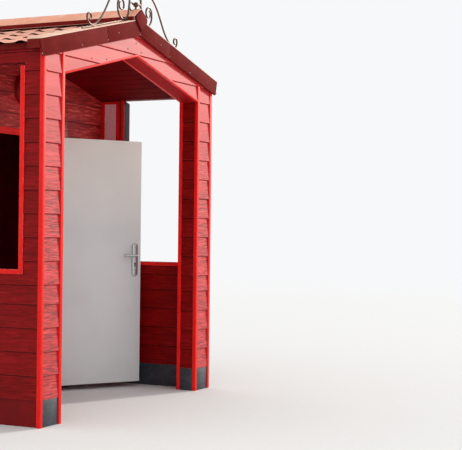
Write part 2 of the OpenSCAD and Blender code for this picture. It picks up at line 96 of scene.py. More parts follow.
def blank_material(name):
    mat = bpy.data.materials.new(name)
    mat.use_nodes = True
    return mat, mat.node_tree, mat.node_tree.nodes["Principled BSDF"]


def noise(tree, scale, detail, distortion=0.0, stretch=(1, 1, 1)):
    """Noise on the piece's own coordinates, denser along an axis with a larger stretch."""
    place = add_node(tree, "ShaderNodeTexCoord")
    mapped = add_node(tree, "ShaderNodeMapping", {"Vector": place.outputs["Object"], "Scale": stretch})
    texture = add_node(tree, "ShaderNodeTexNoise", {
        "Vector": mapped.outputs["Vector"], "Scale": scale, "Detail": detail,
        "Distortion": distortion})
    return texture.outputs["Fac"]


def tinted(tree, source, dark, light, low=0.3, high=0.7):
    """A colour that runs from dark to light with a texture."""
    ramp = add_node(tree, "ShaderNodeValToRGB", {"Fac": source})
    for element, place, colour in zip(ramp.color_ramp.elements, (low, high), (dark, light)):
        element.position = place
        element.color = (*colour, 1)
    return ramp.outputs["Color"]


def seen_directly(tree):
    """1 for rays that show the backdrop: the camera's, and those off gloss and through glass."""
    path = add_node(tree, "ShaderNodeLightPath")
    total = path.outputs["Is Camera Ray"]
    for name in ("Is Glossy Ray", "Is Transmission Ray"):
        most = add_node(tree, "ShaderNodeMath", {0: total, 1: path.outputs[name]}, operation="MAXIMUM")
        total = most.outputs["Value"]
    return total


def started(name, add, **settings):
    """A piece that starts as a primitive, with everything else deselected."""
    bpy.ops.object.select_all(action="DESELECT")
    add(**settings)
    piece = bpy.context.object
    piece.name = name
    return piece


def floor_material():
    mat, tree, shader = blank_material("pale floor")
    grain = noise(tree, 30, 2)
    tint = tinted(tree, grain, (0.68, 0.68, 0.67), (0.74, 0.74, 0.73), 0, 1)
    feed(tree, shader, {"Base Color": tint, "Roughness": 0.9})
    place = add_node(tree, "ShaderNodeTexCoord")
    reach = add_node(tree, "ShaderNodeVectorMath", {0: place.outputs["Object"]}, operation="LENGTH")
    fade = add_node(tree, "ShaderNodeMapRange", {
        "Value": reach.outputs["Value"], "From Min": floor_fades[0], "From Max": floor_fades[1]},
        interpolation_type="SMOOTHSTEP")
    share = add_node(tree, "ShaderNodeMath", {0: fade.outputs["Result"], 1: seen_directly(tree)},
                     operation="MULTIPLY")
    pale = add_node(tree, "ShaderNodeEmission", {"Color": backdrop})
    mix = add_node(tree, "ShaderNodeMixShader", {
        "Fac": share.outputs["Value"], 1: shader.outputs["BSDF"], 2: pale.outputs["Emission"]})
    feed(tree, tree.nodes["Material Output"], {"Surface": mix.outputs["Shader"]})
    return mat


floor = started("floor", bpy.ops.mesh.primitive_grid_add, x_subdivisions=4, y_subdivisions=4,
                size=floor_size)
floor.data.materials.append(floor_material())

world = bpy.data.worlds.new("pale sky")
bpy.context.scene.world = world
world.use_nodes = True
sky = world.node_tree
sky_light = sky.nodes["Background"]
feed(sky, sky_light, {"Color": (0.97, 0.985, 1.0, 1), "Strength": sky_strength})
sky_seen = add_node(sky, "ShaderNodeBackground", {"Color": backdrop})
sky_mix = add_node(sky, "ShaderNodeMixShader", {
    "Fac": seen_directly(sky), 1: sky_light.outputs["Background"], 2: sky_seen.outputs["Background"]})
feed(sky, sky.nodes["World Output"], {"Surface": sky_mix.outputs["Shader"]})

bpy.ops.object.light_add(type="SUN", location=Vector(sun_from) * sun_away)
sun = bpy.context.object
sun.data.energy = sun_energy
sun.data.angle = radians(sun_spread)
sun.data.color = (1.0, 0.94, 0.86)
sun.rotation_euler = (-Vector(sun_from)).to_track_quat("-Z", "Y").to_euler()


# Red boards: thin lapped boards with an embossed wood grain in a gloss red, lighter on the fronts as
# painted sunlight and deep on the sides and back as painted shade, fixed through their hidden upper edges
# to the framed walls.
board_show = 0.156
short_show = 0.127
short_course = 4
arch_course = 14
board_lap = 0.022
board_top_t = 0.0065
board_nose = 0.0175
board_nose_t = 0.0095
nose_round = 0.0022
a_hair = 0.001
tone_step = 0.382
tone_change = 0.14
across = 5.0
as_is = (1, 1, 1)
veins_fade = (1.45, 2.35)
wall_room = 0.020
plinth_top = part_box("plinth_left")[1][2]
hut_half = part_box("pier_trims_right")[1][0]
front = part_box("pier_trims_left")[0][1]
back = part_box("back_trims")[1][1]
pitch = radians(14)
roof_slope = tan(pitch)


def surfaced(tree, shader, colour, relief, rough, gloss=0.5, metal=0.0):
    """Wires a colour, a relief (texture, metres, strength) and a roughness (texture, low, high)."""
    bump = add_node(tree, "ShaderNodeBump", dict(zip(("Height", "Distance", "Strength"), relief)))
    span = add_node(tree, "ShaderNodeMapRange", dict(zip(("Value", "To Min", "To Max"), rough)))
    feed(tree, shader, {"Base Color": colour, "Normal": bump.outputs["Normal"],
                        "Roughness": span.outputs["Result"], "Specular IOR Level": gloss,
                        "Metallic": metal})


def blended(tree, kind, share, first, second):
    """Two colours mixed by a share."""
    mix = add_node(tree, "ShaderNodeMix", {"Factor": share, "A": first, "B": second},
                   data_type="RGBA", blend_type=kind)
    return mix.outputs["Result"]


def height_share(tree, low, high):
    """A share that runs from 0 to 1 between two heights."""
    place = add_node(tree, "ShaderNodeTexCoord")
    split = add_node(tree, "ShaderNodeSeparateXYZ", {"Vector": place.outputs["Object"]})
    share = add_node(tree, "ShaderNodeMapRange", {
        "Value": split.outputs["Z"], "From Min": low, "From Max": high})
    return share.outputs["Result"]


def board_paint(name, dark, light, along, gloss, relief, vein, lap_shade, painted_glint, fade=(3, 4)):
    """Gloss paint on an embossed grain along X or Y, darker in its hollows, partly as grain colour and
    partly as painted shade, and darker in the laps as painted shade.

    The grain's dark veins and its pale veins, which are painted highlights, grow from the upper to the
    lower height of fade.
    """
    mat, tree, shader = blank_material(name)
    long_x = 1.0 if along == "X" else across
    long_y = 1.0 if along == "Y" else across
    patches = noise(tree, 2.6, 5, stretch=(long_x, long_y, 4))
    colour = tinted(tree, patches, dark, light)
    grain = noise(tree, 6, 7, 1.2, (long_x * 1.5, long_y * 1.5, 16))
    swirls = noise(tree, 3.6, 6, 1.8, (long_x * 1.3, long_y * 1.3, 13))
    # Dark veins are partly the grain's colour and partly painted shade in the relief's hollows; pale veins
    # are painted highlights where the relief would catch the light.
    dark_veins_and_shade = (1 - vein, 1 - vein * 1.1, 1 - vein * 1.1)
    pale = (1 + painted_glint, 1 + painted_glint * 9, 1 + painted_glint * 9)
    lower = height_share(tree, fade[1], fade[0])
    tone = add_node(tree, "ShaderNodeAttribute", attribute_name="tone").outputs["Fac"]
    # The lap layer darkens each board's face just under the nose above it: painted shade.
    lap = add_node(tree, "ShaderNodeAttribute", attribute_name="lap").outputs["Fac"]
    for share, layer in (
            (lower, tinted(tree, swirls, dark_veins_and_shade, as_is, 0.40, 0.54)),
            (lower, tinted(tree, swirls, as_is, pale, 0.56, 0.66)),
            (0.6, tinted(tree, grain, dark_veins_and_shade, as_is, 0.30, 0.50)),
            (1.0, tinted(tree, tone, (1 - tone_change,) * 3, as_is, 0, 1)),
            (1.0, tinted(tree, lap, as_is, (1 - lap_shade,) * 3, 0.945, 0.985))):
        colour = blended(tree, "MULTIPLY", share, colour, layer)
    height = add_node(tree, "ShaderNodeMath", {0: swirls, 1: 0.5, 2: grain}, operation="MULTIPLY_ADD")
    surfaced(tree, shader, colour, (height.outputs["Value"], relief, lower), (grain, 0.40, 0.58),
             gloss)
    return mat


def worn_paint(name, paint, worn, gloss=0.2):
    """Paint that is rubbed thin in patches, for edges."""
    mat, tree, shader = blank_material(name)
    rubbed = noise(tree, 38, 5)
    colour = tinted(tree, rubbed, paint, worn, 0.42, 0.60)
    surfaced(tree, shader, colour, (rubbed, 0.0004, 0.6), (rubbed, 0.50, 0.66), gloss)
    return mat


def apply_place():
    bpy.ops.object.transform_apply(location=True, rotation=True, scale=True)


def take(piece):
    """Selects one piece alone."""
    bpy.ops.object.select_all(action="DESELECT")
    piece.select_set(True)
    bpy.context.view_layer.objects.active = piece


def object_mode():
    bpy.ops.object.mode_set(mode="OBJECT")


def edit(piece):
    """Opens a piece for editing with all of it selected."""
    bpy.context.view_layer.objects.active = piece
    bpy.ops.object.mode_set(mode="EDIT")
    bpy.ops.mesh.select_all(action="SELECT")


def coat(piece, mats):
    """Gives a piece its finishes, in their order."""
    piece.data.materials.clear()
    for mat in mats:
        piece.data.materials.append(mat)


def add_block(name, corner, opposite, mats):
    """A sawn block between two opposite corners, to be shaped further."""
    piece = started(name, bpy.ops.mesh.primitive_cube_add, size=1,
                    location=[(a + b) / 2 for a, b in zip(corner, opposite)])
    piece.scale = [abs(b - a) for a, b in zip(corner, opposite)]
    apply_place()
    coat(piece, mats)
    return piece


def pick(piece, test, mode="VERT"):
    """Selects the vertices or faces whose place passes a test, and stays in edit mode."""
    edit(piece)
    bpy.ops.mesh.select_mode(type=mode)
    bpy.ops.mesh.select_all(action="DESELECT")
    object_mode()
    for item in piece.data.vertices if mode == "VERT" else piece.data.polygons:
        item.select = test(item.co if mode == "VERT" else item.center)
    bpy.ops.object.mode_set(mode="EDIT")


def cut_away(piece, point, normal, fill=True):
    """Cuts off what lies beyond a plane, on the side its normal points to."""
    beyond = Vector(normal).normalized()
    if all((vertex.co - Vector(point)).dot(beyond) < 1e-5 for vertex in piece.data.vertices):
        return
    edit(piece)
    bpy.ops.mesh.bisect(plane_co=point, plane_no=normal, use_fill=fill, clear_outer=True)
    object_mode()


def joined(pieces, name):
    """One object of several, each of which has its own mesh."""
    take(pieces[0])
    for piece in pieces[1:]:
        piece.select_set(True)
    if len(pieces) > 1:
        bpy.ops.object.join()
    pieces[0].name = name
    return pieces[0]


def finish_piece(piece, node_names=(), body="hut"):
    """Gives a piece its body and the CAD nodes that it stands for."""
    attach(piece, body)
    if node_names:
        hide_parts(*node_names)


def lap_heights(top):
    """Heights of the boards' lower edges, from the plinth to the roof."""
    heights = [plinth_top]
    while heights[-1] < top:
        course = len(heights) - 1
        short = course == short_course or course >= arch_course
        heights.append(heights[-1] + (short_show if short else board_show))
    return heights


def lapped_boards(name, facing, line, ends, low, high, mats, cuts=()):
    """Boards with their laps in line on a wall that faces front, back, left or right.

    Line is how far over the wall's face stands, and ends are where the boards start and stop.
    """
    near, far = sorted(ends)
    laps = lap_heights(high)
    boards = []
    for course, (lower, upper) in enumerate(zip(laps, laps[1:])):
        if upper + board_lap <= low or lower >= high:
            continue
        board = add_block(name, (0, -board_nose, lower), (far - near, 0, upper + board_lap), mats)
        pick(board, lambda co: co.z < lower + a_hair and co.y > -a_hair)
        bpy.ops.transform.translate(value=(0, board_nose_t - board_nose, 0))
        pick(board, lambda co: co.z > upper and co.y < -a_hair)
        bpy.ops.transform.translate(value=(0, board_nose - board_top_t, 0))
        pick(board, lambda co: co.z < lower + a_hair and co.y < a_hair - board_nose)
        bpy.ops.mesh.bevel(offset=nose_round, segments=2, affect="EDGES", material=1)
        object_mode()
        # Each point's rise up its board is stored as the lap attribute, by which the paint darkens the
        # board under the next nose as painted shade.
        tones = [course * tone_step % 1] * len(board.data.polygons)
        rises = [(vertex.co.z - lower) / (upper - lower) for vertex in board.data.vertices]
        for layer, place, values in (("tone", "FACE", tones), ("lap", "POINT", rises)):
            board.data.attributes.new(layer, "FLOAT", place).data.foreach_set("value", values)
        boards.append(board)
    wall = joined(boards, name)
    start = far if facing in ("back", "left") else near
    wall.location = (start, line, 0) if facing in ("front", "back") else (line, start, 0)
    wall.rotation_euler.z = {"front": 0, "right": pi / 2, "back": pi, "left": -pi / 2}[facing]
    apply_place()
    for point, normal in [((0, 0, low), (0, 0, -1)), ((0, 0, high), (0, 0, 1)), *cuts]:
        cut_away(wall, point, normal)
    finish_piece(wall)


# Lit and shaded copies of one red paint: the first is the fronts' red, painted sunlight and sheen, the
# second the sides' and back's deep red, painted shade; the fronts' paler noses are partly wear and partly
# a painted highlight.
painted_light = ((0.56, 0.012, 0.014), (0.70, 0.030, 0.034))
shade_tone = ((0.23, 0.0015, 0.002), (0.31, 0.003, 0.004))
porch_tone = ((0.48, 0.009, 0.009), (0.70, 0.034, 0.030))
painted_sunlit_red = [board_paint("faded red boards", *painted_light, "X", 0.34, 0.0018, 0.48, 0.6, 0.16, veins_fade),
             worn_paint("worn faded noses", painted_light[1], (0.82, 0.14, 0.13), 0.3)]
plain_grain = (0.12, 0.0008, 0.25, 0.85, 0.2)
shade_red = [board_paint("deep red boards", *shade_tone, "Y", *plain_grain),
            worn_paint("worn deep noses", shade_tone[1], (0.46, 0.02, 0.02))]
back_red = [board_paint("deep red back boards", *shade_tone, "X", *plain_grain), shade_red[1]]
porch_red = [board_paint("porch red boards", *porch_tone, "X", 0.45, 0.0026, 0.45, 0.9, 0.35),
             worn_paint("shaded porch noses", (0.20, 0.004, 0.004), (0.42, 0.02, 0.02), 0.1)]

porch_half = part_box("ceiling")[1][0]
trim_face = 0.030
trim_side = 0.028
arch_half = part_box("pier_right")[0][0] - wall_room
pier_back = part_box("pier_right")[1][1] + wall_room
walls_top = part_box("back_wall")[1][2]
top_of_walls = walls_top + board_lap
ceiling_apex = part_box("door_wall_head")[1][2]
under_deck = {sign: ((0, 0, walls_top - a_hair), (sign * roof_slope, 0, 1)) for sign in (-1, 1)}
under_ceiling = {sign: ((0, 0, ceiling_apex - a_hair), (sign * roof_slope, 0, 1)) for sign in (-1, 1)}
front_face = front + wall_room
pier_rear_face = pier_back - wall_room
sides = (("left", -1), ("right", 1))
facing_in = {"left": "right", "right": "left"}


# Pier and gable boards: short lengths of the same boards on the four faces of each box pier
# and on both faces of the gable, cut along the roof and over the strip on the arch's edge.
pier_board_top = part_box("arch_lining")[0][2]
panel_cover = 0.006
porch_board_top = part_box("porch_panel_left")[1][2] + panel_cover
arch_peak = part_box("arch_strip")[1][2]
arch_spring = arch_peak - arch_half * roof_slope
for side, sign in sides:
    inner = sign * (arch_half + trim_face)
    over_strip = ((0, 0, arch_peak + a_hair), (-sign * roof_slope, 0, -1))
    lapped_boards("pier_front_boards_" + side, "front", front_face, (sign * (hut_half - trim_face), inner),
                  plinth_top, top_of_walls, painted_sunlit_red, [under_deck[sign]])
    lapped_boards("pier_back_boards_" + side, "back", pier_rear_face, (inner, sign * porch_half),
                  plinth_top, porch_board_top, porch_red)
    lapped_boards("pier_inner_boards_" + side, facing_in[side], sign * (arch_half + wall_room),
                  (front + trim_side, pier_back - trim_side), plinth_top, pier_board_top, shade_red)
    lapped_boards("gable_front_boards_" + side, "front", front_face, (0, sign * arch_half),
                  arch_spring, top_of_walls, painted_sunlit_red, [under_deck[sign], over_strip])
    lapped_boards("gable_back_boards_" + side, "back", pier_rear_face, (0, sign * arch_half),
                  arch_spring, top_of_walls, porch_red, [under_ceiling[sign], over_strip])


# Side, back and porch boards: the same boards round the cabin, up to the sills of the porch
# windows and over them, on the low porch walls and on the wall with the door.
sill_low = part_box("dado_left")[1][2]
beam_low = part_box("eaves_beam_left")[0][2]
door_wall_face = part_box("door_wall_left")[0][1]
panel_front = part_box("porch_panel_left")[0][1]
casing_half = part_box("door_frame")[1][0]
casing_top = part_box("door_frame")[1][2]
corner = front + trim_side
rear = back - trim_side
for side, sign in sides:
    for part, ends, low, high, cuts in (
            ("low", (corner, rear), plinth_top, sill_low, []),
            ("pier", (corner, pier_rear_face), sill_low, beam_low, []),
            ("cabin", (panel_front, rear), sill_low, beam_low, []),
            ("top", (corner, rear), beam_low, walls_top, [under_deck[sign]])):
        lapped_boards(f"side_{part}_boards_{side}", side, sign * (hut_half - wall_room), ends,
                      low, high, shade_red, cuts)
    lapped_boards("dado_boards_" + side, facing_in[side], sign * (porch_half + wall_room),
                  (pier_back, door_wall_face - wall_room), plinth_top, sill_low, shade_red)
    for part, ends, low in (("wall", (sign * casing_half, sign * porch_half), plinth_top),
                            ("head", (0, sign * casing_half), casing_top)):
        lapped_boards(f"door_{part}_boards_{side}", "front", door_wall_face, ends,
                      low, ceiling_apex, porch_red, [under_ceiling[sign]])
    lapped_boards("back_boards_" + side, "back", back - wall_room, (0, sign * (hut_half - trim_face)),
                  plinth_top, top_of_walls, back_red, [under_deck[sign]])


# Nails: a few rusty heads stand where short boards were nailed through their faces, on the
# gable and beside the outer trims; elsewhere the laps hide them.
nail_r = 0.0065
nail_proud = 0.0016
nail_places = [(-0.634, 2.482), (-0.434, 2.500), (-0.019, 2.670), (-0.144, 2.614), (0.050, 2.612),
               (0.407, 2.620), (0.411, 2.463), (-1.183, 2.406), (-1.183, 2.339),
               (1.183, 2.406), (1.183, 2.339)]


def turned(name, profile, steps, mats):
    """A piece turned about Z from a profile of (radius, height) points."""
    piece = started(name, bpy.ops.mesh.primitive_plane_add, size=0.001)
    edit(piece)
    bpy.ops.mesh.select_mode(type="VERT")
    bpy.ops.mesh.merge(type="CENTER")
    bpy.ops.transform.translate(value=(profile[0][0], 0, profile[0][1]))
    for (r0, z0), (r1, z1) in zip(profile, profile[1:]):
        bpy.ops.mesh.extrude_region_move(TRANSFORM_OT_translate={"value": (r1 - r0, 0, z1 - z0)})
    bpy.ops.mesh.select_all(action="SELECT")
    bpy.ops.mesh.spin(steps=steps, angle=2 * pi, center=(0, 0, 0), axis=(0, 0, 1))
    bpy.ops.mesh.select_all(action="SELECT")
    bpy.ops.mesh.remove_doubles(threshold=1e-6)
    bpy.ops.mesh.normals_make_consistent(inside=False)
    object_mode()
    bpy.ops.object.shade_smooth_by_angle(angle=radians(40))
    coat(piece, mats)
    return piece


def twin(piece):
    """A copy of a piece with a mesh of its own."""
    other = piece.copy()
    other.data = piece.data.copy()
    bpy.context.collection.objects.link(other)
    return other


def set_out(piece, places, name):
    """Copies of a piece, each turned and placed by (location, rotation), joined as one."""
    made = []
    for place, turn in places:
        item = twin(piece)
        item.location = place
        item.rotation_euler = turn
        made.append(item)
    bpy.data.objects.remove(piece)
    whole = joined(made, name)
    apply_place()
    return whole


def board_face(z):
    """How far the boards' face stands out from the framed wall at a height."""
    laps = lap_heights(z + board_show)
    lower = max(lap for lap in laps if lap <= z)
    upper = min(lap for lap in laps if lap > z) + board_lap
    return board_nose - (board_nose - board_top_t) * (z - lower) / (upper - lower)


rust = [worn_paint("rusty nails", (0.12, 0.010, 0.008), (0.22, 0.03, 0.02), 0.1)]
nail_head = turned("nail", [(0, -0.003), (nail_r, -0.003), (nail_r, nail_proud * 0.4),
                            (nail_r * 0.6, nail_proud), (0, nail_proud * 1.1)], 10, rust)
nail_spots = []
for x, z in nail_places:
    nail_spots.append(((x, front_face - board_face(z), z), (pi / 2, 0, 0)))
    nail_spots.append(((-x, back - wall_room + board_face(z), z), (-pi / 2, 0, 0)))
finish_piece(set_out(nail_head, nail_spots, "board_nails"))


# Red trims: planed timber uprights, strips, sills, jambs and the door's lining, which close the
# ends and edges of the boards; bright gloss red, rubbed pale along the edges, but a darker red under the
# arch and near black in the window reveals, both painted shade.
trim_ease = 0.0022
reveal_edge = 0.01


def gloss_paint(name, dark, light, rough=0.50, gloss=0.15):
    """Brushed gloss paint on planed timber."""
    mat, tree, shader = blank_material(name)
    patches = noise(tree, 7, 5)
    specks = noise(tree, 60, 4)
    dust = tinted(tree, specks, (0.86, 0.84, 0.84), as_is, 0.36, 0.5)
    colour = blended(tree, "MULTIPLY", 1.0, tinted(tree, patches, dark, light), dust)
    brush = noise(tree, 8, 5, stretch=(30, 30, 4))
    surfaced(tree, shader, colour, (brush, 0.0004, 0.5), (brush, rough - 0.08, rough + 0.1), gloss)
    return mat


def apply_modifier(piece, kind, **settings):
    modifier = piece.modifiers.new(kind.title(), kind)
    for name, value in settings.items():
        setattr(modifier, name, value)
    bpy.context.view_layer.objects.active = piece
    bpy.ops.object.modifier_apply(modifier=modifier.name)


def ease(piece, width, segments=2):
    """Rounds a piece's edges; the rounding takes the piece's second finish."""
    apply_modifier(piece, "BEVEL", width=width, segments=segments, limit_method="ANGLE",
                   angle_limit=radians(30), material=min(1, len(piece.data.materials) - 1))
    take(piece)
    bpy.ops.object.shade_smooth_by_angle(angle=radians(38))


def eased_node(node, name, width, mats, body="hut"):
    """A merged copy of a CAD node's mesh, with rounded edges, which stands for the node."""
    piece = bpy.data.objects.new(name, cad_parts[node].data.copy())
    bpy.context.collection.objects.link(piece)
    take(piece)
    coat(piece, mats)
    edit(piece)
    bpy.ops.mesh.select_mode(type="VERT")
    bpy.ops.mesh.customdata_custom_splitnormals_clear()
    bpy.ops.mesh.remove_doubles(threshold=1e-5)
    bpy.ops.mesh.dissolve_limited(angle_limit=radians(1))
    object_mode()
    ease(piece, width)
    finish_piece(piece, [node], body)
    return piece


trim_red = [gloss_paint("bright red trim", (0.80, 0.010, 0.008), (0.90, 0.018, 0.014)),
            worn_paint("rubbed trim edges", (0.84, 0.018, 0.014), (0.90, 0.12, 0.10))]
# The arch's lining is a darker copy of the trim red: painted shade under the arch.
shaded_lining_red = [gloss_paint("crimson arch lining", (0.38, 0.006, 0.010), (0.48, 0.010, 0.014), 0.7, 0.05),
              trim_red[1]]
# The window reveals are painted near black: painted shade in the openings.
shade_reveal_dark = gloss_paint("dark window reveals", (0.020, 0.010, 0.016), (0.036, 0.016, 0.024), 0.7, 0.05)
for node in ("pier_trims_left", "pier_trims_right", "arch_strip", "arch_lining",
             "window_frame_left", "window_frame_right", "back_trims", "door_frame"):
    mats = shaded_lining_red if node == "arch_lining" else trim_red
    trim = eased_node(node, node + "_planed", trim_ease, mats)
    if not node.startswith("window"):
        continue
    # Faces inside each window opening take that near black of painted shade.
    trim.data.materials.append(shade_reveal_dark)
    low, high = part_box(node)
    for face in trim.data.polygons:
        inside = all(low[i] + reveal_edge < face.center[i] < high[i] - reveal_edge for i in (1, 2))
        if inside and abs(face.normal.x) < 0.3:
            face.material_index = 2


# Plinth boards: broad boards on edge round the foot of the walls, in a slate grey paint that
# is scuffed and splashed along the ground.
plinth_ease = 0.003


def plinth_paint():
    mat, tree, shader = blank_material("slate plinth")
    patches = noise(tree, 5, 6, 0.6, (3, 3, 6))
    colour = tinted(tree, patches, (0.018, 0.022, 0.031), (0.040, 0.047, 0.062))
    scuffs = noise(tree, 3, 7, 1.0, (8, 8, 30))
    share = tinted(tree, scuffs, (0, 0, 0), (0.6, 0.6, 0.6), 0.58, 0.72)
    colour = blended(tree, "MIX", share, colour, (0.13, 0.13, 0.135, 1))
    surfaced(tree, shader, colour, (scuffs, 0.0008, 0.6), (scuffs, 0.42, 0.66))
    return mat


slate = [plinth_paint(), worn_paint("rubbed plinth edges", (0.04, 0.045, 0.06), (0.17, 0.17, 0.18))]
for side, sign in sides:
    eased_node("plinth_" + side, "plinth_boards_" + side, plinth_ease, slate)


# Framed walls: the studs and sheathing behind the boards, and the smooth lining inside the
# cabin, brushed over in a plain dark red.
def dress(names, mat):
    """Gives CAD nodes their finish."""
    for name in names:
        coat(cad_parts[name], [mat])


wall_red = gloss_paint("dark red walls", (0.15, 0.002, 0.003), (0.22, 0.003, 0.004))
dress(["back_wall", "door_wall_head"], wall_red)
for side, sign in sides:
    dress([part + side for part in ("pier_", "gable_", "dado_", "side_wall_", "door_wall_",
                                    "eaves_beam_")], wall_red)


# Porch panels: flat sheets of board between the porch windows and the door wall, with a sunk
# field coloured pale pink as a painted reflection inside a red margin, and a joint beside the window jamb
# painted dark as painted shade.
field_y = (-0.655, -0.542)
field_top = 2.362
field_foot = 1.060
joint_y = -0.693
field_sunk = 0.004
joint_sunk = 0.014
# The field's pale pink is a painted reflection of bright light on a smooth red gloss.
painted_glare_pink = gloss_paint("faded pink field", (0.92, 0.44, 0.50), (0.97, 0.54, 0.60))
# This near black is painted shade: in the panel's joint beside the jamb, and as a shadow line round the
# ridge end plates.
shadow_gap_dark = gloss_paint("dark joint", (0.03, 0.004, 0.004), (0.05, 0.006, 0.006), 0.7, 0.1)
margin_red = gloss_paint("porch margin red", (0.66, 0.008, 0.008), (0.80, 0.014, 0.014))
for side, sign in sides:
    low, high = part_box("porch_panel_" + side)
    panel = add_block("porch_panel_board_" + side, low, high,
                      [margin_red, trim_red[1], painted_glare_pink, shadow_gap_dark])
    inner_x = min(abs(low[0]), abs(high[0])) * sign
    lines = [((0, y, 0), (0, 1, 0)) for y in (joint_y, *field_y)]
    lines += [((0, 0, z), (0, 0, 1)) for z in (field_foot, field_top)]
    for point, normal in lines:
        edit(panel)
        bpy.ops.mesh.bisect(plane_co=point, plane_no=normal)
        object_mode()

    def on_field(mid):
        return field_y[0] < mid.y < field_y[1] and field_foot < mid.z < field_top

    for test, sunk, index in ((on_field, field_sunk, 2), (lambda mid: mid.y < joint_y, joint_sunk, 3)):
        pick(panel, lambda mid: abs(mid.x - inner_x) < 1e-4 and test(mid), "FACE")
        bpy.ops.mesh.extrude_region_move(TRANSFORM_OT_translate={"value": (sign * sunk, 0, 0)})
        object_mode()
        for face in panel.data.polygons:
            if face.select:
                face.material_index = index
    finish_piece(panel, ["porch_panel_" + side])


# Bare timber: sawn softwood rafters, and the deck and ridge batten over them, which are stained
# dark against the wet; all nailed together.
def bare_wood(name, dark, light):
    mat, tree, shader = blank_material(name)
    grain = noise(tree, 3, 6, 1.0, (14, 1.5, 14))
    surfaced(tree, shader, tinted(tree, grain, dark, light), (grain, 0.0006, 0.6), (grain, 0.6, 0.8))
    return mat


softwood = bare_wood("sawn softwood", (0.30, 0.19, 0.10), (0.46, 0.32, 0.19))
dress(["rafters"], softwood)
dress(["ridge_batten", "roof_deck_left", "roof_deck_right"],
      bare_wood("stained deck", (0.02, 0.012, 0.010), (0.04, 0.025, 0.020)))


# Cabin floor: planed and oiled softwood boards with open joints, which are laid from side to
# side on three bearers.
floor_board = 0.118
floor_joint = 0.002
floor_thick = 0.022
floor_ease = 0.0015
bearer_width = 0.070
bearer_place = 0.92
floor_low, floor_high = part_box("cabin_floor")
oiled = [bare_wood("oiled floor boards", (0.26, 0.15, 0.075), (0.40, 0.26, 0.14)), softwood]
floor_parts = []
for number in range(ceil((floor_high[1] - floor_low[1]) / (floor_board + floor_joint))):
    near = floor_low[1] + number * (floor_board + floor_joint)
    far = min(near + floor_board, floor_high[1])
    floor_parts.append(add_block("floor_board", (floor_low[0], near, floor_high[2] - floor_thick),
                                 (floor_high[0], far, floor_high[2]), oiled))
for middle in (floor_low[0] * bearer_place, 0, floor_high[0] * bearer_place):
    floor_parts.append(add_block(
        "bearer", (middle - bearer_width / 2, floor_low[1], floor_low[2]),
        (middle + bearer_width / 2, floor_high[1], floor_high[2] - floor_thick), oiled))
for part in floor_parts:
    ease(part, floor_ease, 1)
finish_piece(joined(floor_parts, "cabin_floor_boards"), ["cabin_floor"])


# Ceiling boards: narrow boards in a dark red that is painted shade, with a groove along each
# joint, nailed up under the rafters from front to back.
ceiling_width = 0.098
ceiling_gap = 0.003
ceiling_overrun = 0.01
ceiling_groove = 0.004
ceiling_low, ceiling_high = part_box("ceiling")
ceiling_thick = (ceiling_high[2] - ceiling_apex) * cos(pitch)
ceiling_reach = ceiling_high[0] / cos(pitch)
shaded_ceiling_paint = [gloss_paint("dark red ceiling", (0.12, 0.002, 0.002), (0.18, 0.002, 0.003), 0.7, 0.03)]


def slope_up(piece, sign, apex):
    """Lays a piece that was made flat, with X from the ridge outwards, on one roof slope."""
    piece.location = (0, 0, apex)
    piece.rotation_euler = (0, sign * pitch, 0)
    take(piece)
    apply_place()


slopes = []
for side, sign in sides:
    slats = []
    for number in range(ceil(ceiling_reach / (ceiling_width + ceiling_gap))):
        near = number * (ceiling_width + ceiling_gap)
        far = min(near + ceiling_width, ceiling_reach)
        slat = add_block("ceiling_slat", (sign * (near or -ceiling_overrun), ceiling_low[1], 0),
                         (sign * far, ceiling_high[1], ceiling_thick), shaded_ceiling_paint)
        pick(slat, lambda co: co.z < a_hair)
        bpy.ops.mesh.bevel(offset=ceiling_groove, segments=1, affect="EDGES")
        object_mode()
        slats.append(slat)
    slope = joined(slats, "ceiling_slope")
    slope_up(slope, sign, ceiling_apex)
    cut_away(slope, (0, 0, 0), (-sign, 0, 0))
    cut_away(slope, (sign * ceiling_high[0], 0, 0), (sign, 0, 0))
    slopes.append(slope)
finish_piece(joined(slopes, "ceiling_boards"), ["ceiling"])


# Roof sheets: coated steel pressed into rows of tiles, wide shallow pans between narrow rolls,
# each row stepping down over the next, laid from eaves to ridge on the boarded deck.
tile_rows = 4
tile_pitch = 0.1715
tile_start = 0.147
row_lap = 0.048
row_fold = 0.0078
tile_steps = 14
roll_steps = 8
pan_levels = (0.0018, 0.0112)
pan_dip = 0.0012
roll_widths = (0.036, 0.092)
roll_rise = 0.0105
sheet_metal = 0.0013
sheet_low, sheet_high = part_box("roof_sheet_right")
roof_apex = sheet_high[2]
sheet_depth = 0.024
sheet_apex = roof_apex - sheet_depth / cos(pitch)
slope_length = sheet_high[0] / cos(pitch)
row_length = slope_length / tile_rows
roof_ends = (sheet_low[1], sheet_high[1])


def coated_sheet(name, dark, light, rough, pale=None):
    """A gritty coat on sheet metal; where a pale colour is given, paler patches of it are a painted
    reflection.
    """
    mat, tree, shader = blank_material(name)
    patches = noise(tree, 4.5, 7)
    grit = noise(tree, 240, 3)
    speck = tinted(tree, grit, (0.78, 0.74, 0.72), (1.08, 1.06, 1.04), 0.36, 0.62)
    colour = blended(tree, "MULTIPLY", 1.0, tinted(tree, patches, dark, light), speck)
    if pale:
        glare_patches = noise(tree, 11, 6)
        share = tinted(tree, glare_patches, (0, 0, 0), (0.8, 0.8, 0.8), 0.52, 0.72)
        colour = blended(tree, "MIX", share, colour, (*pale, 1))
    surfaced(tree, shader, colour, (grit, 0.0007, 0.6), (patches, rough - 0.08, rough + 0.12),
             gloss=0.35)
    return mat


